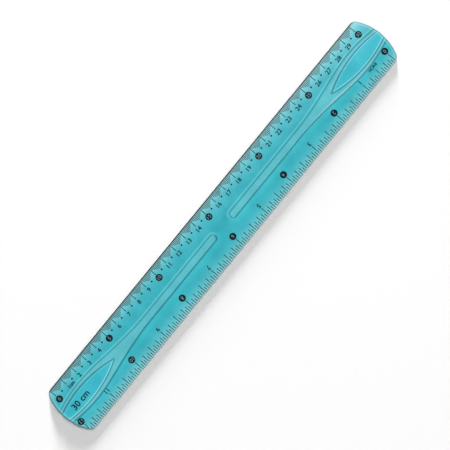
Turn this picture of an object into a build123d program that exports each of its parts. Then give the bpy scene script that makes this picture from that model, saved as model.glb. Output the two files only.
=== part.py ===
"""A soft 30 cm ruler that folds over by bending, with a centimetre and an inch scale printed on it.

It is one flexible moulding, and a chain of short lengths that turn on each other stands for its bend.
X runs along the ruler to the 30 cm end, Y runs across it to the centimetre edge and Z points up.
The origin is under the middle of the ruler, on the flat underside.
"""

import math
import os

from build123d import *

# Scales, in millimetres and counts, and the plain plastic past each end of them
millimetre = 1.0
inch = 25.4
centimetre_scale_marks = 300
marks_per_centimetre = 10
marks_per_inch = 16
disc_every_centimetres = 5
disc_every_inches = 2
centimetre_start_margin = 6.8
centimetre_end_margin = 9.6
inch_start_margin = 7.2
inch_end_margin = 4.4

# Moulding, in millimetres
overall_width = 37.4
middle_thickness = 2.5
edge_thickness = 1.25
end_radius = 36.0
corner_radius = 4.5
rim_radius = 0.35
overrun = 5.0

# Sunk channel and the pointed leaf that stands in each end of it. The slot starts near the middle of
# the ruler, and every other place is measured from the ruler's end.
channel_depth = 0.7
channel_shift_x = -0.4
channel_shift_y = -0.4
slot_start = 8.0
slot_half_width = 2.35
slot_end_radius = 2.0
slot_end_from_end = 82.2
flare_middle_from_end = 47.2
flare_middle_half_width = 5.45
flare_widest_from_end = 21.2
flare_widest_half_width = 7.8
flare_closing_from_end = 7.2
flare_closing_half_width = 6.5
flare_exit_past_end = 1.8
flare_exit_half_width = 4.9
leaf_middle_from_end = 20.2
leaf_half_width = 5.2
leaf_half_length = 28.5

# Joints that stand for the bend. Each comes half way past the counted millimetre mark.
joint_after_mark = (
    17, 33, 52, 68, 82, 96, 112, 123, 142, 157, 176, 187, 203, 217, 233, 247, 266, 282
)
between_marks_share = 0.5
joint_height = 1.0
joint_gap = 0.1
joint_limit_degrees = 10.0
joint_relief_degrees = 0.5

# Print, with the middle of each row of discs and numbers measured from its own long edge. Plain numbers
# of the inch scale and its word sit a little nearer their marks than its discs.
print_thickness = 0.04
print_margin = 0.45
centimetre_row_inset = 8.4
inch_row_inset = 9.25
inch_number_inset = 8.75
numeral_height = 3.0
numeral_stroke = 0.38
disc_diameter = 4.6
disc_numeral_height = 2.3
disc_numeral_stroke = 0.34
unit_height = 1.9
unit_stroke = 0.28
unit_shift = 1.9
inch_word_height = 2.2
inch_word_inches_share = 0.5
size_mark_height = 4.4
size_mark_stroke = 0.55
size_mark_from_end = 14.8

# Marks, each measured from the long edge to its inner end
fine_mark_width = 0.28
coarse_mark_width = 0.4
centimetre_mark_reach = 5.9
first_millimetre_reach = 2.3
millimetre_reach_step = 0.75
half_centimetre_dot = 1.2
half_centimetre_dot_reach = 6.4
inch_mark_reach = 6.55
half_inch_reach = 6.45
quarter_inch_reach = 5.6
eighth_inch_reach = 4.4
sixteenth_inch_reach = 3.0

# Characters as pen strokes, in shares of the character's width and height. A stroke that ends where
# it starts is a loop. The first number is the width as a share of a figure's width.
figure_width_share = 0.52
half_share = 0.5
figure_gap_share = 0.36
round_shares = ((0.3, 0), (0.7, 0), (1, 0.2), (1, 0.8), (0.7, 1), (0.3, 1), (0, 0.8), (0, 0.2), (0.3, 0))
lower_loop_shares = (
    (0.3, 0), (0.7, 0), (1, 0.16), (1, 0.42), (0.7, 0.58), (0.3, 0.58), (0, 0.42), (0, 0.16), (0.3, 0)
)
upper_loop_shares = (
    (0.3, 0.58), (0.7, 0.58), (0.93, 0.7), (0.93, 0.87), (0.7, 1), (0.3, 1), (0.07, 0.87), (0.07, 0.7),
    (0.3, 0.58)
)
character_shares = {
    "0": (1, round_shares),
    "1": (0.45, ((0, 0.75), (1, 1), (1, 0))),
    "2": (1, ((0, 0.78), (0.25, 1), (0.75, 1), (1, 0.8), (1, 0.6), (0, 0), (1, 0))),
    "3": (1, ((0, 0.85), (0.25, 1), (0.75, 1), (1, 0.85), (1, 0.68), (0.7, 0.54), (1, 0.4), (1, 0.17),
              (0.75, 0), (0.25, 0), (0, 0.15))),
    "4": (1, ((0.75, 0), (0.75, 1)), ((0.75, 1), (0, 0.3), (1, 0.3))),
    "5": (1, ((0.9, 1), (0.1, 1), (0, 0.55), (0.7, 0.6), (1, 0.43), (1, 0.2), (0.7, 0), (0.25, 0),
              (0, 0.12))),
    "6": (1, lower_loop_shares, ((0, 0.3), (0, 0.65), (0.35, 1), (0.85, 1))),
    "7": (1, ((0, 1), (1, 1), (0.4, 0))),
    "8": (1, lower_loop_shares, upper_loop_shares),
    "9": (1, tuple((1 - x, 1 - y) for x, y in lower_loop_shares),
          ((1, 0.7), (1, 0.35), (0.65, 0), (0.15, 0))),
    "c": (0.9, ((1, 0.6), (0.7, 0.7), (0.3, 0.7), (0, 0.5), (0, 0.2), (0.3, 0), (0.7, 0), (1, 0.1))),
    "m": (1.5, ((0, 0), (0, 0.7), (0.9, 0.7), (1, 0.55), (1, 0)), ((0.5, 0), (0.5, 0.7))),
    "I": (0, ((0, 0), (0, 1))),
    "N": (1, ((0, 0), (0, 1), (1, 0), (1, 1))),
    "C": (1, ((1, 0.85), (0.75, 1), (0.25, 1), (0, 0.8), (0, 0.2), (0.25, 0), (0.75, 0), (1, 0.15))),
    "H": (1, ((0, 0), (0, 1)), ((1, 0), (1, 1)), ((0, 0.5), (1, 0.5))),
    " ": (0.5,),
}

overall_length = centimetre_start_margin + centimetre_scale_marks * millimetre + centimetre_end_margin
half_length = overall_length / 2
half_width = overall_width / 2
mark_start_y = half_width - print_margin
centimetre_zero_x = centimetre_start_margin - half_length
inch_zero_x = half_length - inch_start_margin
inch_scale_length = overall_length - inch_start_margin - inch_end_margin
inch_scale_marks = round(inch_scale_length / inch * marks_per_inch)
centimetre_row_y = half_width - centimetre_row_inset
inch_row_y = inch_row_inset - half_width
inch_number_y = inch_number_inset - half_width
joint_places = [
    centimetre_zero_x + (mark + between_marks_share) * millimetre for mark in joint_after_mark
]


def end_sagitta():
    """How far the curved end stands out past its two corners."""
    return end_radius - math.sqrt(end_radius**2 - half_width**2)


def outline(inset):
    """The plan of the ruler: straight long edges, curved ends and rounded corners."""
    y = half_width - inset
    apex = half_length - inset
    corner = half_length - end_sagitta() - inset
    edges = [
        Line((-corner, y), (corner, y)),
        ThreePointArc((corner, y), (apex, 0), (corner, -y)),
        Line((corner, -y), (-corner, -y)),
        ThreePointArc((-corner, -y), (-apex, 0), (-corner, y)),
    ]
    face = make_face(edges)
    return fillet(face.vertices(), corner_radius - inset)


def crowned_bar(lift):
    """A bar as long as the ruler, flat below, whose upper side is one arc across."""
    section = make_face(
        [
            Line((-half_width, 0), (half_width, 0)),
            Line((half_width, 0), (half_width, edge_thickness + lift)),
            ThreePointArc(
                (half_width, edge_thickness + lift),
                (0, middle_thickness + lift),
                (-half_width, edge_thickness + lift),
            ),
            Line((-half_width, edge_thickness + lift), (-half_width, 0)),
        ]
    )
    return extrude(Plane.YZ * section, amount=half_length, both=True)


def flare_half():
    """One half of the channel's plan: a slot that widens and runs out past the ruler's end."""
    corner = slot_start + slot_end_radius
    shoulder = slot_half_width - slot_end_radius
    bend = slot_end_radius * math.sin(math.pi / 4)
    slot_end = half_length - slot_end_from_end
    flare_exit = half_length + flare_exit_past_end
    flare_closing = half_length - flare_closing_from_end
    exit_slope = (flare_exit_half_width - flare_closing_half_width) / (flare_exit - flare_closing)
    curve = [
        (slot_end, slot_half_width),
        (half_length - flare_middle_from_end, flare_middle_half_width),
        (half_length - flare_widest_from_end, flare_widest_half_width),
        (flare_closing, flare_closing_half_width),
        (flare_exit, flare_exit_half_width),
    ]
    edges = []
    for side in (1, -1):
        edges.append(Line((slot_start, 0), (slot_start, side * shoulder)))
        edges.append(
            ThreePointArc(
                (slot_start, side * shoulder),
                (corner - bend, side * (shoulder + bend)),
                (corner, side * slot_half_width),
            )
        )
        edges.append(Line((corner, side * slot_half_width), (slot_end, side * slot_half_width)))
        tangents = [(1, 0), (1, side * exit_slope)]
        edges.append(Spline([(x, side * y) for x, y in curve], tangents=tangents))
    edges.append(Line((flare_exit, flare_exit_half_width), (flare_exit, -flare_exit_half_width)))
    return make_face(edges)


def leaf_half():
    """The pointed oval that stands in the channel's wide end: where two circles overlap."""
    radius = (leaf_half_length**2 + leaf_half_width**2) / (2 * leaf_half_width)
    leaf_middle = half_length - leaf_middle_from_end
    offset_y = radius - leaf_half_width
    upper = Pos(leaf_middle, -offset_y) * Circle(radius)
    lower = Pos(leaf_middle, offset_y) * Circle(radius)
    return upper & lower


def channel_plan():
    """Both halves of the channel, less the leaves that are left standing in them."""
    half = flare_half() - leaf_half()
    place = Pos(channel_shift_x, channel_shift_y)
    return place * half, place * mirror(half, about=Plane.YZ)


def moulding():
    """The whole moulding before it is divided: crowned, with a rounded rim and sunk channels."""
    body = crowned_bar(0) & extrude(outline(0), amount=middle_thickness)
    top = body.faces().sort_by(Axis.Z)[-1]
    body = fillet(top.edges(), rim_radius)
    floor = crowned_bar(-channel_depth)
    for plan in channel_plan():
        body -= extrude(plan, amount=middle_thickness) - floor
    return body


def joint_cut(x):
    """The gap at one joint: narrow at the joint's height and opening upwards and downwards."""
    slope = math.tan(math.radians(joint_limit_degrees / 2 + joint_relief_degrees))
    top = middle_thickness + overrun
    at_joint = joint_gap / 2
    at_top = at_joint + (top - joint_height) * slope
    at_bottom = at_joint + (joint_height + overrun) * slope
    points = [
        (at_joint, joint_height),
        (at_top, top),
        (-at_top, top),
        (-at_joint, joint_height),
        (-at_bottom, -overrun),
        (at_bottom, -overrun),
    ]
    section = make_face(Polyline(points, close=True))
    return Pos(x) * extrude(Plane.XZ * section, amount=overall_width, both=True)


def divided(body):
    """The body in lengths, from the zero end on, with the gap of each joint cut out."""
    for x in joint_places:
        body -= joint_cut(x)
    return body.solids().sort_by(Axis.X)


def beside(points, offset):
    """The points of a stroke moved sideways, with mitred corners."""
    loop = points[0] == points[-1]
    nodes = [Vector(x, y) for x, y in points]
    runs = [(end - start).normalized() for start, end in zip(nodes, nodes[1:])]
    normals = [Vector(-run.Y, run.X) for run in runs]
    before = [normals[-1] if loop else normals[0], *normals]
    after = [*normals, normals[0] if loop else normals[-1]]
    return [
        node + (a + b) * (offset / (1 + a.dot(b))) for node, a, b in zip(nodes, before, after)
    ]


def pen_stroke(points, width):
    """A pen stroke of one width along some points, as a flat face."""
    left = beside(points, width / 2)
    right = beside(points, -width / 2)
    if points[0] == points[-1]:
        rings = [make_face(Polyline(side[:-1], close=True)) for side in (left, right)]
        outer, inner = sorted(rings, key=lambda ring: -ring.area)
        return outer - inner
    return make_face(Polyline(left + right[::-1], close=True))


def words(text, height, stroke, x, y, turn):
    """Printed text, centred at a place."""
    tall = height - stroke
    wide = figure_width_share * tall
    gap = figure_gap_share * tall
    widths = [character_shares[letter][0] * wide for letter in text]
    start = -(sum(widths) + gap * (len(text) - 1)) / 2
    place = Pos(x, y) * Rot(0, 0, turn)
    faces = []
    for letter, width in zip(text, widths):
        shape = Sketch()
        for stroke_shares in character_shares[letter][1:]:
            points = [(start + width * u, tall * (v - half_share)) for u, v in stroke_shares]
            shape += pen_stroke(points, stroke)
        faces += [place * face for face in shape.faces()]
        start += width + gap
    return faces


def numbered_disc(text, x, y, turn):
    """A printed disc with its number left unprinted."""
    disc = Pos(x, y) * Circle(disc_diameter / 2)
    for face in words(text, disc_numeral_height, disc_numeral_stroke, x, y, turn):
        disc -= face
    return disc.faces()


def edge_mark(x, side, reach, width):
    """One line of a scale, from near the long edge inwards."""
    end = half_width - reach
    long = mark_start_y - end
    return (Pos(x, side * (end + long / 2)) * Rectangle(width, long)).face()


def centimetre_marks():
    """The centimetre scale: lines that shorten towards each centimetre, dots, numbers and discs."""
    marks = []
    half = marks_per_centimetre // 2
    for n in range(centimetre_scale_marks + 1):
        x = centimetre_zero_x + n * millimetre
        step = n % marks_per_centimetre
        near = min(step, marks_per_centimetre - step)
        if near:
            reach = first_millimetre_reach + (near - 1) * millimetre_reach_step
            marks.append(edge_mark(x, 1, reach, fine_mark_width))
        else:
            marks.append(edge_mark(x, 1, centimetre_mark_reach, coarse_mark_width))
            marks += centimetre_number(n // marks_per_centimetre, x)
        if step == half:
            dot_y = half_width - half_centimetre_dot_reach
            marks.append((Pos(x, dot_y) * Circle(half_centimetre_dot / 2)).face())
    return marks


def centimetre_number(number, x):
    """What is printed at one centimetre: a disc, a number or, at the first, the unit."""
    if number % disc_every_centimetres == 0:
        return numbered_disc(str(number), x, centimetre_row_y, 0)
    if number == 1:
        return words("1cm", unit_height, unit_stroke, x + unit_shift, centimetre_row_y, 0)
    return words(str(number), numeral_height, numeral_stroke, x, centimetre_row_y, 0)


def inch_marks():
    """The inch scale, which runs the other way and reads from the other side."""
    marks = []
    reaches = (
        (marks_per_inch, inch_mark_reach),
        (marks_per_inch // 2, half_inch_reach),
        (marks_per_inch // 4, quarter_inch_reach),
        (marks_per_inch // 8, eighth_inch_reach),
        (1, sixteenth_inch_reach),
    )
    for n in range(inch_scale_marks + 1):
        x = inch_zero_x - n * inch / marks_per_inch
        reach = next(length for division, length in reaches if n % division == 0)
        marks.append(edge_mark(x, -1, reach, coarse_mark_width))
        if n % marks_per_inch == 0:
            marks += inch_number(n // marks_per_inch, x)
    word_x = inch_zero_x - inch_word_inches_share * inch
    marks += words("INCH", inch_word_height, unit_stroke, word_x, inch_number_y, 180)
    return marks


def inch_number(number, x):
    """What is printed at one inch: a disc or a number."""
    if number % disc_every_inches == 0:
        return numbered_disc(str(number), x, inch_row_y, 180)
    return words(str(number), numeral_height, numeral_stroke, x, inch_number_y, 180)


def printed(marks, layer):
    """The marks that lie on one length, as thin solids that follow its crown."""
    box = layer.bounding_box()
    solids = []
    for mark in marks:
        reach = mark.bounding_box()
        if reach.max.X > box.min.X and reach.min.X < box.max.X:
            cut = extrude(mark, amount=middle_thickness + overrun) & layer
            solids += cut.solids() if cut else []
    return Compound(children=solids)


def save(shape, name):
    """One named piece, written to its own file."""
    shape.label = name
    export_step(shape, os.path.join("parts", name + ".step"))


os.makedirs("parts", exist_ok=True)
print_field = extrude(outline(print_margin), amount=middle_thickness + overrun)
layers = divided((crowned_bar(print_thickness) & print_field) - crowned_bar(0))
size_mark_x = size_mark_from_end - half_length
size_mark = words("30 cm", size_mark_height, size_mark_stroke, size_mark_x, channel_shift_y, 0)
centimetre_print = centimetre_marks()
inch_print = inch_marks()
for number, (length, layer) in enumerate(zip(divided(moulding()), layers), start=1):
    save(length, f"moulding_{number:02d}")
    save(printed(centimetre_print, layer), f"centimetre_print_{number:02d}")
    save(printed(inch_print, layer), f"inch_print_{number:02d}")
save(printed(size_mark, layers[0]), "size_mark")
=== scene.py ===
import math

import bmesh
import bpy
from mathutils import Matrix, Vector


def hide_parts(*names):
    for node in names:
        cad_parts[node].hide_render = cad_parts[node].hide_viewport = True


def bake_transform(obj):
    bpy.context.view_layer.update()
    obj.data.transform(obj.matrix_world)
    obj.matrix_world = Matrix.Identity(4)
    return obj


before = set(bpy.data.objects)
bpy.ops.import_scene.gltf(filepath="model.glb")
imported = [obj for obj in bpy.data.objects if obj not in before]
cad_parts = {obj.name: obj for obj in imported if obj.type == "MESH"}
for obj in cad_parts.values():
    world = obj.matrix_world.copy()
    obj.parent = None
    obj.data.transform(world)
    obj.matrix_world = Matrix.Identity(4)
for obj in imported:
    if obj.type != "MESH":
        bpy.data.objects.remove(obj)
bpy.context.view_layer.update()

# The blade. One soft moulding of tinted flexible PVC, shot in one piece: crowned above and flat below,
# with a sunk channel in each half that opens round a pointed leaf and runs out through the end.
# It bends all along, so it is made as eighteen stretches that meet between the bends.
metres_per_mm = 0.001
half_length = 158.2
half_width = 18.7
middle_thickness = 2.5
edge_thickness = 1.25
end_radius = 36.0
corner_radius = 4.5
upper_rim_radius = 0.5
lower_rim_radius = 0.2
channel_depth = 0.7
channel_x = -0.4
channel_y = -0.4
slot_start = 8.0
slot_end_radius = 2.0
slot_half_width = 2.35
flare_points = (
    (76.0, 2.35, 0.0),
    (111.0, 5.45, 0.1413),
    (137.0, 7.8, -0.0145),
    (151.0, 6.5, -0.147),
    (160.0, 4.9, -0.1778),
)
leaf_middle = 138.0
leaf_half_width = 5.2
leaf_half_length = 28.5
narrowest_leaf_line = 0.55
wall_half_width = 0.45
lip_offset = 0.95
side_blend = 0.5
centimetre_zero = -151.4
centimetre = 10
scale_length = 300.0
hatch_reach = 1.55
hatch_rise = 0.75
curve_start = 130.0
curve_rounds = 4
row_step = 0.5
rim_steps = (0.0, 0.05, 0.2, 0.5, 0.85, 1.25)
wall_steps = (-1, -0.5, 0, 0.5, 1)
leaf_shares = (0.3, 0.6, 0.88)
plain_columns = 11
bend_marks = (17, 33, 52, 68, 82, 96, 112, 123, 142, 157, 176, 187, 203, 217, 233, 247, 266, 282)
meeting_marks = (26, 42, 61, 76, 88, 103, 117, 133, 147, 166, 182, 196, 212, 223, 242, 257, 273)
between_marks = 0.5
bend_height = 1.0

crown_radius = (half_width**2 + (middle_thickness - edge_thickness) ** 2) / (
    2 * (middle_thickness - edge_thickness)
)
leaf_radius = (leaf_half_length**2 + leaf_half_width**2) / (2 * leaf_half_width)
end_centre = half_length - end_radius
corner_y = half_width - corner_radius
corner_x = end_centre + math.sqrt((end_radius - corner_radius) ** 2 - corner_y**2)
corner_start = math.atan2(corner_y, corner_x - end_centre)
corner_turn = (corner_start + math.pi / 2) / 2
grid_end = corner_x + corner_radius * math.cos(corner_turn)
grid_corner_y = corner_y + corner_radius * math.sin(corner_turn)
bend_places = [centimetre_zero + mark + between_marks for mark in bend_marks]
meeting_places = [centimetre_zero + mark + between_marks for mark in meeting_marks]
last_stretch = len(bend_places)


def crown(y):
    """The height of the crowned upper side, before anything is sunk in it."""
    return middle_thickness - crown_radius + math.sqrt(crown_radius**2 - y**2)


def flare(x):
    """Half the channel's width, by the distance from the middle of the ruler."""
    if x <= flare_points[0][0]:
        return slot_half_width
    for (x0, y0, slope0), (x1, y1, slope1) in zip(flare_points, flare_points[1:]):
        if x <= x1:
            break
    run = x1 - x0
    t = min((x - x0) / run, 1.0)
    return (
        y0 * (1 + 2 * t) * (1 - t) ** 2
        + slope0 * run * t * (1 - t) ** 2
        + y1 * t * t * (3 - 2 * t)
        - slope1 * run * t * t * (1 - t)
    )


def inside_channel(x, y):
    """How far a place lies inside the channel's outline; less than nothing outside it."""
    along = abs(x - channel_x)
    beside = abs(y - channel_y)
    width = flare(along)
    slope = (flare(along + row_step) - flare(along - row_step)) / (2 * row_step)
    inside = (width - beside) / math.sqrt(1 + slope**2)
    if along < slot_start + slot_end_radius:
        ends = slot_start + slot_end_radius - along
        over = max(beside - (slot_half_width - slot_end_radius), 0.0)
        inside = min(inside, slot_end_radius - math.hypot(ends, over))
    return inside


def inside_leaf(x, y):
    """How far a place lies inside the leaf's outline; less than nothing outside it."""
    along = abs(abs(x - channel_x) - leaf_middle)
    beside = abs(y - channel_y)
    from_centre = math.hypot(along, beside + leaf_radius - leaf_half_width)
    if along * leaf_radius > leaf_half_length * from_centre:
        return -math.hypot(along - leaf_half_length, beside)
    return leaf_radius - from_centre


def leaf_line(x):
    """Half the leaf's width, never less than the mesh needs to stay open."""
    along = min(abs(abs(x - channel_x) - leaf_middle), leaf_half_length)
    return max(
        math.sqrt(leaf_radius**2 - along**2) - leaf_radius + leaf_half_width, narrowest_leaf_line
    )


def inside_outline(x, y):
    """How far a place lies inside the ruler's own outline."""
    along = abs(x)
    beside = abs(y)
    if math.atan2(beside - corner_y, along - corner_x) > corner_start and along > corner_x:
        return corner_radius - math.hypot(along - corner_x, beside - corner_y)
    return min(half_width - beside, end_radius - math.hypot(max(along - end_centre, 0.0), beside))


def inside_print_shadow(x, y):
    """How far a place lies inside the zone under the millimetre lines where their shadow through the
    plastic is painted.
    """
    past_zero = min(max(x - centimetre_zero, 0.0), scale_length)
    step = centimetre / 2 - abs(past_zero % centimetre - centimetre / 2)
    return hatch_reach + hatch_rise * step - (half_width - y)


def rounding(inside, radius):
    """How far a rounded edge has dropped, by the distance from the outline."""
    left = min(max(radius - inside, 0.0), radius)
    return radius - math.sqrt(radius**2 - left**2)


def ease(share):
    """A smooth step from nothing to one."""
    share = min(max(share, 0.0), 1.0)
    return share * share * (3 - 2 * share)


def sunk_share(x, y):
    """One on the channel's floor, nothing on the crown and on the leaf."""
    walls = 2 * wall_half_width
    sunk = ease((inside_channel(x, y) + wall_half_width) / walls)
    stood = ease((inside_leaf(x, y) + wall_half_width) / walls)
    return sunk * (1 - stood)


def rows(first, last):
    """Places along a stretch where its mesh has a row, closer together at both of its ends."""
    inner_first = first + rim_steps[-1]
    inner_last = last - rim_steps[-1]
    count = math.ceil((inner_last - inner_first) / row_step)
    inner = [inner_first + (inner_last - inner_first) * n / count for n in range(1, count)]
    return [first + step for step in rim_steps] + inner + [last - step for step in rim_steps[::-1]]


def half_columns(x, edge, side):
    """Places across one side of the ruler where its mesh has a column, from the middle outwards."""
    leaf = leaf_line(x)
    wall = flare(abs(x - channel_x))
    beside = [share * (leaf - wall_half_width) for share in leaf_shares]
    beside += [leaf + step * wall_half_width for step in wall_steps]
    beside += [(leaf + wall) / 2]
    beside += [wall + step * wall_half_width for step in wall_steps]
    beside += [wall + lip_offset]
    places = [side * channel_y + step for step in beside]
    inner = edge - rim_steps[-1]
    start = places[-1]
    places += [start + (inner - start) * n / plain_columns for n in range(1, plain_columns)]
    places += [edge - step for step in rim_steps[::-1]]
    return places


def across(x, edge):
    """Places across the whole ruler where its mesh has a column."""
    lower = half_columns(x, edge, -1)
    return [-place for place in lower[::-1]] + [channel_y] + half_columns(x, edge, 1)


def end_reach(y):
    """How far the curved end stands out past the corner of the grid."""
    beside = abs(y)
    if beside >= grid_corner_y:
        return 0.0
    if beside > end_radius * math.sin(corner_start):
        return corner_x + math.sqrt(corner_radius**2 - (beside - corner_y) ** 2) - grid_end
    return end_centre + math.sqrt(end_radius**2 - beside**2) - grid_end


def grid_place(row, column):
    """Where a row and a column of the mesh cross, with the last rows bent to the curved end."""
    over = max(abs(row) - corner_x, 0.0)
    edge = corner_y + math.sqrt(corner_radius**2 - over**2)
    share = max((abs(row) - curve_start) / (grid_end - curve_start), 0.0) ** 2
    side = math.copysign(1.0, row)
    x = row
    y = across(x, edge)[column]
    for _ in range(curve_rounds if share else 0):
        x = row + side * share * end_reach(y)
        y = across(x, edge)[column]
    return x, y


def add_number(piece_mesh, name, values):
    """One number for each vertex, for the material to read."""
    piece_mesh.attributes.new(name, "FLOAT", "POINT").data.foreach_set("value", values)


def add_flat_place(piece_mesh):
    """Where each vertex lies on the flat ruler, in millimetres, so that no pattern slides as it bends."""
    places = [c / metres_per_mm for v in piece_mesh.vertices for c in v.co]
    piece_mesh.attributes.new("flat_place", "FLOAT_VECTOR", "POINT").data.foreach_set("vector", places)


def add_piece(name, shape, material):
    """A finished mesh as an object, with its place in its mesh."""
    bmesh.ops.scale(shape, vec=(metres_per_mm,) * 3, verts=shape.verts)
    made = bpy.data.meshes.new(name)
    shape.to_mesh(made)
    shape.free()
    made.materials.append(material)
    piece = bpy.data.objects.new(name, made)
    bpy.context.scene.collection.objects.link(piece)
    return piece


def colour(hex_value):
    """An sRGB hex colour as the linear one that the shader takes."""
    parts = [int(hex_value[n : n + 2], 16) / 255 for n in (0, 2, 4)]
    linear = [c / 12.92 if c <= 0.04045 else ((c + 0.055) / 1.055) ** 2.4 for c in parts]
    return (*linear, 1.0)


def add_node(tree, kind, settings, links):
    """A node with its settings and links. A setting is a socket's if the node has one of that name."""
    made = tree.nodes.new(kind)
    for name, value in settings.items():
        if isinstance(name, int) or name in made.inputs:
            made.inputs[name].default_value = value
        else:
            setattr(made, name, value)
    for name, source in links.items():
        tree.links.new(source, made.inputs[name])
    return made


def new_material(name):
    """An empty material with its output node."""
    material = bpy.data.materials.new(name)
    material.use_nodes = True
    material.node_tree.nodes.clear()
    return material, material.node_tree


# Flexible PVC, tinted through and moulded in a polished tool. It looks satin and slightly milky, paler
# where it is thin. Over that colour, light and shade are painted: dark lines of painted shade and light
# lines of painted highlight where the walls of the channel and the leaf bend the light, the millimetre
# lines' painted shadow, and painted shade and highlights along the edges and round the ends.
leaf_colour = "2cb8ca"
cloud_size = 12
grain_size = 0.5
wave_spacing = 9

flexible_pvc, tree = new_material("tinted_flexible_pvc")
flat_place = add_node(tree, "ShaderNodeAttribute", {"attribute_name": "flat_place"}, {})
thickness = add_node(tree, "ShaderNodeAttribute", {"attribute_name": "thickness"}, {})
by_thickness = add_node(
    tree,
    "ShaderNodeMapRange",
    {"From Min": edge_thickness, "From Max": middle_thickness},
    {"Value": thickness.outputs["Fac"]},
)
body_colour = add_node(tree, "ShaderNodeValToRGB", {}, {"Fac": by_thickness.outputs["Result"]})
ramp = body_colour.color_ramp
ramp.elements[0].color = colour("84c6cc")
ramp.elements[1].color = colour("1ea8b6")
for position, hex_value in ((0.2, "74c5ce"), (0.42, "52bac5"), (0.68, "30b0be"), (0.88, "22acba")):
    ramp.elements.new(position).color = colour(hex_value)
# The lamp falls from the centimetre side, so the painted shade and highlights below differ between the
# centimetre side and the inch side, and between the long edges and the ends.
sides = add_node(tree, "ShaderNodeSeparateXYZ", {}, {"Vector": flat_place.outputs["Vector"]})
towards_centimetres = add_node(
    tree,
    "ShaderNodeMapRange",
    {"From Min": channel_y - side_blend, "From Max": channel_y + side_blend},
    {"Value": sides.outputs["Y"]},
).outputs["Result"]
towards_inches = add_node(
    tree, "ShaderNodeMath", {"operation": "SUBTRACT", 0: 1.0}, {1: towards_centimetres}
).outputs["Value"]
on_end = add_node(tree, "ShaderNodeAttribute", {"attribute_name": "end_share"}, {}).outputs["Fac"]
on_sides = add_node(
    tree, "ShaderNodeMath", {"operation": "SUBTRACT", 0: 1.0}, {1: on_end}
).outputs["Value"]
on_centimetre_edge, on_inch_edge = (
    add_node(
        tree, "ShaderNodeMath", {"operation": "MULTIPLY"}, {0: on_sides, 1: side}
    ).outputs["Value"]
    for side in (towards_centimetres, towards_inches)
)


def painted_over(below, distance, share, stops):
    """Painted shade and painted highlights as lines of colour along an edge, by the distance from it in
    millimetres, over what is below.
    """
    distance = add_node(tree, "ShaderNodeAttribute", {"attribute_name": distance}, {})
    start, end = stops[0][0], stops[-1][0]
    along = add_node(
        tree,
        "ShaderNodeMapRange",
        {"From Min": start, "From Max": end},
        {"Value": distance.outputs["Fac"]},
    )
    lines = add_node(tree, "ShaderNodeValToRGB", {}, {"Fac": along.outputs["Result"]})
    ramp = lines.color_ramp
    for millimetres, hex_value, strength in stops:
        position = (millimetres - start) / (end - start)
        if 0 < position < 1:
            stop = ramp.elements.new(position)
        else:
            stop = ramp.elements[0 if position == 0 else -1]
        stop.color = (*colour(hex_value)[:3], strength)
    amount = add_node(
        tree, "ShaderNodeMath", {"operation": "MULTIPLY"}, {0: lines.outputs["Alpha"], 1: share}
    )
    mixed = add_node(
        tree,
        "ShaderNodeMix",
        {"data_type": "RGBA"},
        {0: amount.outputs["Value"], 6: below, 7: lines.outputs["Color"]},
    )
    return mixed.outputs[2]


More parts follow.
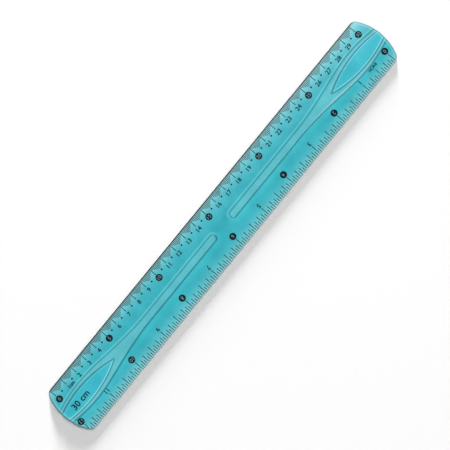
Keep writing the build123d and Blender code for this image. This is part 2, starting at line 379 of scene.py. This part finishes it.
painted = body_colour.outputs["Color"]
for distance, share, stops in (
    # Painted shade and highlights round the leaf: on the centimetre side a dark line of painted shade
    # outside its wall and a light line of painted highlight inside it; on the inch side a dark line of
    # painted shade and a strong light line of painted highlight just inside.
    (
        "leaf_in",
        towards_centimetres,
        (
            (-1.1, "0f7484", 0.0),
            (-0.7, "0f7484", 0.75),
            (-0.1, "0f7484", 0.75),
            (0.3, leaf_colour, 0.8),
            (0.6, "66d2dd", 0.6),
            (1.1, leaf_colour, 0.9),
            (6.0, leaf_colour, 0.9),
        ),
    ),
    (
        "leaf_in",
        towards_inches,
        (
            (-0.9, "0f7c8a", 0.0),
            (-0.5, "0f7c8a", 0.75),
            (-0.15, "0f7c8a", 0.6),
            (0.15, "8fe6ee", 0.7),
            (0.55, "8fe6ee", 0.85),
            (1.0, leaf_colour, 0.9),
            (6.0, leaf_colour, 0.9),
        ),
    ),
    # Painted shade and highlights at the channel's outer wall: on the centimetre side a light line of
    # painted highlight outside the wall and a mild line of painted shade on it; on the inch side a strong
    # dark line of painted shade on the wall, with a paler band beside it.
    (
        "channel_in",
        towards_centimetres,
        (
            (-2.0, "6fd0da", 0.0),
            (-1.1, "6fd0da", 0.6),
            (-0.6, "6fd0da", 0.3),
            (-0.3, "2a9fad", 0.5),
            (0.2, "2a9fad", 0.5),
            (0.6, "2a9fad", 0.0),
        ),
    ),
    (
        "channel_in",
        towards_inches,
        (
            (-5.0, "2cb8c5", 0.0),
            (-2.0, "2cb8c5", 0.9),
            (-0.9, "2cb8c5", 0.9),
            (-0.5, "008292", 0.85),
            (0.25, "008292", 0.9),
            (0.75, "008292", 0.0),
        ),
    ),
    # Painted shadow: the millimetre lines' shadow through the clear plastic, a greyer, darker zone under
    # them.
    (
        "print_shadow_in",
        towards_centimetres,
        (
            (-0.6, "62aab2", 0.0),
            (0.3, "62aab2", 0.75),
            (1.8, "66a8b0", 0.85),
            (4.5, "6ea5ab", 0.9),
        ),
    ),
    # A near-black line of painted shade along the centimetre edge.
    (
        "rim_in",
        on_centimetre_edge,
        (
            (0.0, "1f6a74", 0.9),
            (0.04, "1f6a74", 0.9),
            (0.1, "10181a", 1.0),
            (0.55, "10181a", 1.0),
            (0.95, "2d4a4c", 0.0),
        ),
    ),
    # A pale line along the inch edge: partly the thin rounded edge, partly a painted highlight on the
    # side away from the lamp.
    (
        "rim_in",
        on_inch_edge,
        ((0.0, "7fc0c6", 0.5), (0.3, "a8d8dc", 0.5), (1.0, "a8d8dc", 0.0)),
    ),
    # Round the ends, a dark rim of painted shade at the outline and a light line of painted highlight on
    # the rounding just inside it.
    (
        "rim_in",
        on_end,
        (
            (0.0, "2f7f88", 0.9),
            (0.45, "2f7f88", 0.6),
            (0.8, "8fdbe2", 0.25),
            (1.2, "8fdbe2", 0.5),
            (1.8, "8fdbe2", 0.0),
        ),
    ),
):
    painted = painted_over(painted, distance, share, stops)
# Melt flow leaves faint clouds, drawn a little stronger than they are.
cloud = add_node(
    tree,
    "ShaderNodeTexNoise",
    {"Scale": 1 / cloud_size, "Detail": 3.0, "Roughness": 0.6},
    {"Vector": flat_place.outputs["Vector"]},
)
clouded = add_node(
    tree,
    "ShaderNodeMapRange",
    {"From Min": 0.3, "From Max": 0.7, "To Min": 0.93, "To Max": 1.07},
    {"Value": cloud.outputs["Fac"]},
)
tinted = add_node(
    tree,
    "ShaderNodeHueSaturation",
    {},
    {"Color": painted, "Value": clouded.outputs["Result"]},
)
# The satin grain of the tool and the soft waves of a flexible sheet break up the reflection. The real
# grain is too fine to show, so it is drawn at half a millimetre.
grain, waves = (
    add_node(
        tree,
        "ShaderNodeTexNoise",
        {"Scale": 1 / size, "Detail": detail},
        {"Vector": flat_place.outputs["Vector"]},
    )
    for size, detail in ((grain_size, 2.0), (wave_spacing, 1.0))
)
wavy = add_node(
    tree, "ShaderNodeBump", {"Strength": 0.25, "Distance": 0.0004}, {"Height": waves.outputs["Fac"]}
)
grained = add_node(
    tree,
    "ShaderNodeBump",
    {"Strength": 0.12, "Distance": 0.00005},
    {"Height": grain.outputs["Fac"], "Normal": wavy.outputs["Normal"]},
)
worn = add_node(
    tree,
    "ShaderNodeMapRange",
    {"From Min": 0.35, "From Max": 0.65, "To Min": 0.22, "To Max": 0.34},
    {"Value": cloud.outputs["Fac"]},
)
surface = add_node(
    tree,
    "ShaderNodeBsdfPrincipled",
    {"IOR": 1.53, "Metallic": 0.0},
    {
        "Base Color": tinted.outputs["Color"],
        "Roughness": worn.outputs["Result"],
        "Normal": grained.outputs["Normal"],
    },
)
add_node(tree, "ShaderNodeOutputMaterial", {}, {"Surface": surface.outputs["BSDF"]})

column_count = len(across(0.0, half_width))
ends = (-grid_end, *meeting_places, grid_end)
blade_pieces = []
for number, (first, last) in enumerate(zip(ends, ends[1:]), start=1):
    places = rows(first, last)
    shape = bmesh.new()
    bmesh.ops.create_grid(shape, x_segments=len(places) - 1, y_segments=column_count - 1, size=1.0)
    for vertex in shape.verts:
        row = round((vertex.co.x + 1) / 2 * (len(places) - 1))
        column = round((vertex.co.y + 1) / 2 * (column_count - 1))
        vertex.co.x, vertex.co.y = grid_place(places[row], column)
    raised = bmesh.ops.extrude_face_region(shape, geom=shape.faces[:], use_keep_orig=True)["geom"]
    upper = {element for element in raised if isinstance(element, bmesh.types.BMVert)}
    for face in shape.faces:
        face.smooth = True
        for place in (first, last):
            if place in meeting_places and all(v.co.x == face.verts[0].co.x for v in face.verts):
                for edge in face.edges:
                    edge.smooth = False
    names = ("thickness", "channel_in", "leaf_in", "rim_in", "print_shadow_in", "end_share")
    readings = {name: [] for name in names}
    for vertex in shape.verts:
        x, y = vertex.co.x, vertex.co.y
        inside = inside_outline(x, y)
        height = crown(y) - channel_depth * sunk_share(x, y)
        vertex.co.z = rounding(inside, lower_rim_radius)
        if vertex in upper:
            vertex.co.z = height - rounding(inside, upper_rim_radius)
        readings["thickness"].append(height)
        readings["channel_in"].append(inside_channel(x, y))
        readings["leaf_in"].append(inside_leaf(x, y))
        readings["rim_in"].append(inside)
        readings["print_shadow_in"].append(inside_print_shadow(x, y))
        readings["end_share"].append(ease(half_width - abs(y) - inside))
    bmesh.ops.recalc_face_normals(shape, faces=shape.faces)
    piece = add_piece(f"blade_{number:02d}", shape, flexible_pvc)
    for name, values in readings.items():
        add_number(piece.data, name, values)
    add_flat_place(piece.data)
    blade_pieces.append(piece)


def bend_with_blade(piece, number):
    """Bakes a piece's place into its mesh. Where the blade's bend round it would start and end is worked
    out but not used.
    """
    bend = bend_places[number - 1]
    start = max(ends[number - 1], 2 * bend - ends[number]) if number == 1 else ends[number - 1]
    end = min(ends[number], 2 * bend - ends[number - 1]) if number == last_stretch else ends[number]
    start = (start * metres_per_mm, 0.0, bend_height * metres_per_mm)
    end = (end * metres_per_mm, 0.0, bend_height * metres_per_mm)
    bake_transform(piece)


for number, piece in enumerate(blade_pieces, start=1):
    bend_with_blade(piece, number)
    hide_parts(f"moulding_{number:02d}")
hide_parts(f"moulding_{last_stretch + 1:02d}")

# The centimetre scale. Screen-printed in black ink on the crown, a few hundredths of a millimetre
# thick: millimetre lines that shorten towards each centimetre, dots, numbers and numbered discs.
ink_thickness = 0.04
ink_depth = 0.02
centimetre_row = 10.3
disc_every_centimetres = 5
print_margin = 0.45
millimetre_reaches = (5.9, 2.3, 3.05, 3.8, 4.55, 5.3)
line_width = 0.3
centimetre_line_width = 0.44
dot_diameter = 1.2
dot_reach = 6.4
disc_diameter = 4.6
disc_numeral_height = 2.3
numeral_height = 3.0
unit_height = 2.4
unit_shift = 2.05
cell = 1.5
sliver = 0.01
stroke_weight = 0.02
small_stroke_weight = 0.035
disc_stroke_weight = -0.01
same_corner = 0.0005
crossed_corner = 0.028


def flat_text(words, height, weight=stroke_weight):
    """Printed words as a flat mesh, centred, with a height in millimetres.

    Bolder or thinner strokes cross at the narrow corners of some figures, so those corners are joined
    and every letter is filled anew inside its outline.
    """
    letters = bpy.data.curves.new("letters", "FONT")
    letters.body = words
    letters.resolution_u = 3
    letters.offset = weight
    holder = bpy.data.objects.new("letters", letters)
    shape = bmesh.new()
    shape.from_mesh(bpy.data.meshes.new_from_object(holder))
    bpy.data.objects.remove(holder)
    bmesh.ops.remove_doubles(shape, verts=shape.verts, dist=same_corner)
    inner = [edge for edge in shape.edges if len(edge.link_faces) > 1]
    bmesh.ops.delete(shape, geom=inner + shape.faces[:], context="EDGES_FACES")
    corner = crossed_corner if words.isdigit() else same_corner
    bmesh.ops.remove_doubles(shape, verts=shape.verts, dist=corner)
    bmesh.ops.triangle_fill(shape, use_beauty=True, edges=shape.edges)
    low = [min(v.co[axis] for v in shape.verts) for axis in (0, 1)]
    high = [max(v.co[axis] for v in shape.verts) for axis in (0, 1)]
    middle = Vector(((low[0] + high[0]) / 2, (low[1] + high[1]) / 2, 0))
    bmesh.ops.translate(shape, vec=-middle, verts=shape.verts)
    bmesh.ops.scale(shape, vec=(height / (high[1] - low[1]),) * 3, verts=shape.verts)
    return shape


def flat_disc(words, height):
    """A printed disc with its number in the second ink, as a flat mesh."""
    shape = flat_text(words, height, disc_stroke_weight)
    for face in shape.faces:
        face.material_index = 1
    bmesh.ops.create_circle(shape, segments=32, radius=disc_diameter / 2)
    outlines = [edge for edge in shape.edges if len(edge.link_faces) < 2]
    bmesh.ops.triangle_fill(shape, use_beauty=True, edges=outlines)
    return shape


def flat_line(width, start, end):
    """One line of a scale, as a flat mesh."""
    shape = bmesh.new()
    bmesh.ops.create_grid(shape, x_segments=1, y_segments=1, size=0.5)
    bmesh.ops.scale(shape, vec=(width, end - start, 1), verts=shape.verts)
    bmesh.ops.translate(shape, vec=(0, (start + end) / 2, 0), verts=shape.verts)
    return shape


def flat_dot(diameter):
    """One printed dot, as a flat mesh."""
    shape = bmesh.new()
    bmesh.ops.create_circle(shape, cap_ends=True, segments=12, radius=diameter / 2)
    return shape


def mark_end(x, width):
    """How far out a line of a scale reaches: short of the rim, also where the corner rounds it off."""
    over = max(abs(x) + width / 2 - corner_x, 0.0)
    return corner_y + math.sqrt((corner_radius - print_margin) ** 2 - over**2)


def cut_in_cells(mark):
    """Cuts a flat mark into cells small enough to follow the crown and the bend."""
    for axis in (0, 1):
        direction = Vector((axis == 0, axis == 1, 0))
        places = [v.co[axis] for v in mark.verts]
        count = math.ceil((max(places) - min(places)) / cell)
        for n in range(1, count):
            place = min(places) + (max(places) - min(places)) * n / count
            everything = mark.verts[:] + mark.edges[:] + mark.faces[:]
            at = {"plane_co": direction * place, "plane_no": direction, "dist": sliver}
            bmesh.ops.bisect_plane(mark, geom=everything, **at)
    bmesh.ops.dissolve_degenerate(mark, edges=mark.edges, dist=sliver)


def print_on(sheets, mark, x, y, turn):
    """Puts a flat mark on the sheet of the stretch that it lies on."""
    number = next(n for n, last in enumerate(ends[1:-1] + (half_length,), start=1) if x < last)
    cut_in_cells(mark)
    if turn:
        bmesh.ops.rotate(mark, matrix=Matrix.Rotation(turn, 3, "Z"), verts=mark.verts)
    bmesh.ops.translate(mark, vec=(x, y, 0), verts=mark.verts)
    held = bpy.data.meshes.new("mark")
    mark.to_mesh(held)
    mark.free()
    if number not in sheets:
        sheets[number] = bmesh.new()
    sheets[number].from_mesh(held)
    bpy.data.meshes.remove(held)


def ink_pieces(name, sheets):
    """Each sheet of marks, laid on the crown and given the ink's thickness."""
    made = {}
    for number, sheet in sorted(sheets.items()):
        bmesh.ops.recalc_face_normals(sheet, faces=sheet.faces)
        raised = bmesh.ops.extrude_face_region(sheet, geom=sheet.faces[:], use_keep_orig=True)["geom"]
        upper = {element for element in raised if isinstance(element, bmesh.types.BMVert)}
        for vertex in sheet.verts:
            on_crown = crown(vertex.co.y) - channel_depth * sunk_share(vertex.co.x, vertex.co.y)
            vertex.co.z = on_crown + (ink_thickness if vertex in upper else -ink_depth)
        bmesh.ops.recalc_face_normals(sheet, faces=sheet.faces)
        piece = add_piece(f"{name}_{number:02d}", sheet, print_ink)
        piece.data.materials.append(white_ink)
        add_flat_place(piece.data)
        bend_with_blade(piece, number)
        made[number] = piece
    return made


# Solvent ink for soft PVC, screen-printed: a dense satin black, a little thin and grey in places.
print_ink, tree = new_material("black_screen_ink")
flat_place = add_node(tree, "ShaderNodeAttribute", {"attribute_name": "flat_place"}, {})
thin_places = add_node(
    tree, "ShaderNodeTexNoise", {"Scale": 1.2, "Detail": 3.0}, {"Vector": flat_place.outputs["Vector"]}
)
ink_colour = add_node(tree, "ShaderNodeValToRGB", {}, {"Fac": thin_places.outputs["Fac"]})
ramp = ink_colour.color_ramp
ramp.elements[0].position = 0.35
ramp.elements[0].color = colour("020c10")
ramp.elements[1].position = 0.75
ramp.elements[1].color = colour("06222a")
surface = add_node(
    tree,
    "ShaderNodeBsdfPrincipled",
    {"Roughness": 0.6, "IOR": 1.5, "Specular IOR Level": 0.12},
    {"Base Color": ink_colour.outputs["Color"]},
)
add_node(tree, "ShaderNodeOutputMaterial", {}, {"Surface": surface.outputs["BSDF"]})

# The figures in the discs are left out of the black and printed in white, a chalky ink so thin that
# the teal below tints it.
white_ink, tree = new_material("white_screen_ink")
flat_place = add_node(tree, "ShaderNodeAttribute", {"attribute_name": "flat_place"}, {})
chalk = add_node(
    tree, "ShaderNodeTexNoise", {"Scale": 2.5, "Detail": 3.0}, {"Vector": flat_place.outputs["Vector"]}
)
chalk_colour = add_node(tree, "ShaderNodeValToRGB", {}, {"Fac": chalk.outputs["Fac"]})
chalk_colour.color_ramp.elements[0].color = colour("729aa2")
chalk_colour.color_ramp.elements[1].color = colour("8db5be")
surface = add_node(
    tree,
    "ShaderNodeBsdfPrincipled",
    {"Roughness": 0.6, "IOR": 1.5, "Specular IOR Level": 0.2},
    {"Base Color": chalk_colour.outputs["Color"]},
)
add_node(tree, "ShaderNodeOutputMaterial", {}, {"Surface": surface.outputs["BSDF"]})

sheets = {}
for n in range(round(scale_length) + 1):
    x = centimetre_zero + n
    step = min(n % centimetre, centimetre - n % centimetre)
    width = line_width if step else centimetre_line_width
    line = flat_line(width, half_width - millimetre_reaches[step], mark_end(x, width))
    print_on(sheets, line, x, 0, 0)
    if 2 * step == centimetre:
        print_on(sheets, flat_dot(dot_diameter), x, half_width - dot_reach, 0)
    words = str(n // centimetre)
    if n % (disc_every_centimetres * centimetre) == 0:
        print_on(sheets, flat_disc(words, disc_numeral_height), x, centimetre_row, 0)
    elif n == centimetre:
        unit = flat_text("1cm", unit_height, small_stroke_weight)
        print_on(sheets, unit, x + unit_shift, centimetre_row, 0)
    elif step == 0:
        print_on(sheets, flat_text(words, numeral_height), x, centimetre_row, 0)
centimetre_pieces = ink_pieces("centimetre_scale", sheets)
for number, piece in centimetre_pieces.items():
    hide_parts(f"centimetre_print_{number:02d}")
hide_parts(f"centimetre_print_{last_stretch + 1:02d}")

# The inch scale. The same ink in the same pass, along the other edge: it runs the other way and reads
# from the other side, in sixteenths, with a numbered disc at every second inch.
inch = 25.4
inches = 12
marks_per_inch = 16
disc_every_inches = 2
inch_zero = 151.0
inch_disc_row = -9.45
inch_number_row = -9.95
inch_line_width = 0.44
inch_reaches = ((16, 6.55), (8, 6.45), (4, 5.6), (2, 4.4), (1, 3.0))
inch_word_height = 2.2

sheets = {}
for n in range(inches * marks_per_inch + 1):
    x = inch_zero - n * inch / marks_per_inch
    reach = next(length for division, length in inch_reaches if n % division == 0)
    line = flat_line(inch_line_width, -mark_end(x, inch_line_width), reach - half_width)
    print_on(sheets, line, x, 0, 0)
    words = str(n // marks_per_inch)
    if n % (disc_every_inches * marks_per_inch) == 0:
        print_on(sheets, flat_disc(words, disc_numeral_height), x, inch_disc_row, math.pi)
    elif n % marks_per_inch == 0:
        print_on(sheets, flat_text(words, numeral_height), x, inch_number_row, math.pi)
inch_word = flat_text("INCH", inch_word_height, small_stroke_weight)
print_on(sheets, inch_word, inch_zero - inch / 2, inch_number_row, math.pi)
inch_pieces = ink_pieces("inch_scale", sheets)
for number, piece in inch_pieces.items():
    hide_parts(f"inch_print_{number:02d}")
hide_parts(f"inch_print_{last_stretch + 1:02d}")

# The size mark. The same ink on the left leaf, which says how long the scale is. It lies between the
# end and the first bend, and reads from the centimetre side.
size_mark_height = 4.4
size_mark_x = -143.4

sheets = {}
print_on(sheets, flat_text("30 cm", size_mark_height), size_mark_x, channel_y, 0)
for piece in ink_pieces("size_mark_ink", sheets).values():
    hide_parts("size_mark")

# The studio. A sheet of paper under one large soft lamp, with a low far lamp that lights the paper
# alone and draws the ruler's long soft shadow, and a camera straight above, turned as the photograph is.
# The paper fades into the white room, and is clear from below and to what lies right on it.
view_turn = math.radians(50.644)
frame_width = 0.2868
view_height = 2.0
sensor_width = 36.0
aim = (0.00104, -0.00095)
from_above_left = Vector((0.72, 0.69, 0.0)).normalized()
paper_height = -0.02
paper_reach = 4000.0
lit_through = 0.001
fade_start = 0.45
fade_end = 1.3
key_side, key_height, key_size, key_power = 1.1, 1.9, 1.2, 27.5
fill_side, fill_height, fill_size, fill_power = -0.9, 1.2, 1.0, 2.8
low_lamp_rise = math.radians(5.3)
low_lamp_angle = math.radians(8.0)
low_lamp_power = 28.6
low_lamp_distance = 3

# Matt paper. Its fibres give the eye a faint unevenness, and are drawn much coarser than they are.
paper_sheet, tree = new_material("matt_paper")
geometry = add_node(tree, "ShaderNodeNewGeometry", {}, {})
fibres = add_node(
    tree, "ShaderNodeTexNoise", {"Scale": 400.0, "Detail": 2.0}, {"Vector": geometry.outputs["Position"]}
)
paper = add_node(
    tree, "ShaderNodeMapRange", {"To Min": 0.434, "To Max": 0.446}, {"Value": fibres.outputs["Fac"]}
)
paper_colour = add_node(
    tree, "ShaderNodeCombineColor", {}, {n: paper.outputs["Result"] for n in ("Red", "Green", "Blue")}
)
matt = add_node(tree, "ShaderNodeBsdfDiffuse", {}, {"Color": paper_colour.outputs["Color"]})
clear = add_node(tree, "ShaderNodeBsdfTransparent", {}, {})
from_middle = add_node(
    tree, "ShaderNodeVectorMath", {"operation": "LENGTH"}, {0: geometry.outputs["Position"]}
)
far_away = add_node(
    tree,
    "ShaderNodeMapRange",
    {"interpolation_type": "SMOOTHSTEP", "From Min": fade_start, "From Max": fade_end},
    {"Value": from_middle.outputs["Value"]},
)
unseen = add_node(
    tree,
    "ShaderNodeMath",
    {"operation": "MAXIMUM"},
    {0: far_away.outputs["Result"], 1: geometry.outputs["Backfacing"]},
)
rays = add_node(tree, "ShaderNodeLightPath", {}, {})
right_below = add_node(
    tree, "ShaderNodeMath", {"operation": "LESS_THAN", 1: lit_through}, {0: rays.outputs["Ray Length"]}
)
let_through = add_node(
    tree,
    "ShaderNodeMath",
    {"operation": "MAXIMUM"},
    {0: unseen.outputs["Value"], 1: right_below.outputs["Value"]},
)
one_sided = add_node(
    tree,
    "ShaderNodeMixShader",
    {},
    {0: let_through.outputs["Value"], 1: matt.outputs["BSDF"], 2: clear.outputs["BSDF"]},
)
add_node(tree, "ShaderNodeOutputMaterial", {}, {"Surface": one_sided.outputs["Shader"]})
shape = bmesh.new()
bmesh.ops.create_grid(shape, x_segments=1, y_segments=1, size=paper_reach)
bmesh.ops.translate(shape, vec=(0, 0, paper_height), verts=shape.verts)
floor = add_piece("paper_floor", shape, paper_sheet)

world = bpy.data.worlds.new("soft_room")
world.use_nodes = True
world.node_tree.nodes.clear()
tree = world.node_tree
rays = add_node(tree, "ShaderNodeLightPath", {}, {})
room = add_node(tree, "ShaderNodeBackground", {"Color": colour("ffffff"), "Strength": 0.5}, {})
behind = add_node(tree, "ShaderNodeBackground", {"Color": colour("ffffff"), "Strength": 1.0}, {})
mixed = add_node(
    tree,
    "ShaderNodeMixShader",
    {},
    {0: rays.outputs["Is Camera Ray"], 1: room.outputs["Background"], 2: behind.outputs["Background"]},
)
add_node(tree, "ShaderNodeOutputWorld", {}, {"Surface": mixed.outputs["Shader"]})
bpy.context.scene.world = world


def add_lamp(name, kind, place, settings):
    """A lamp that points at the ruler's middle."""
    light = bpy.data.lights.new(name, kind)
    for setting, value in settings.items():
        setattr(light, setting, value)
    lamp = bpy.data.objects.new(name, light)
    lamp.location = place
    lamp.rotation_euler = (-place).to_track_quat("-Z", "Y").to_euler()
    bpy.context.scene.collection.objects.link(lamp)
    return lamp


upwards = Vector((0, 0, 1))
key_place = from_above_left * key_side + upwards * key_height
add_lamp("key_softbox", "AREA", key_place, {"size": key_size, "energy": key_power})
fill_place = from_above_left * fill_side + upwards * fill_height
add_lamp("fill_softbox", "AREA", fill_place, {"size": fill_size, "energy": fill_power})
low_place = from_above_left * math.cos(low_lamp_rise) + upwards * math.sin(low_lamp_rise)
low_lamp = add_lamp(
    "low_lamp",
    "SUN",
    low_place * low_lamp_distance,
    {"angle": low_lamp_angle, "energy": low_lamp_power},
)
paper_only = bpy.data.collections.new("paper_only")
paper_only.objects.link(floor)
low_lamp.light_linking.receiver_collection = paper_only

lens = bpy.data.cameras.new("camera")
lens.sensor_width = sensor_width
lens.lens = sensor_width * view_height / frame_width
camera = bpy.data.objects.new("camera", lens)
camera.location = (aim[0], aim[1], view_height)
camera.rotation_euler = (0, 0, -view_turn)
bpy.context.scene.collection.objects.link(camera)
bpy.context.scene.camera = camera
bpy.context.scene.view_settings.view_transform = "Standard"
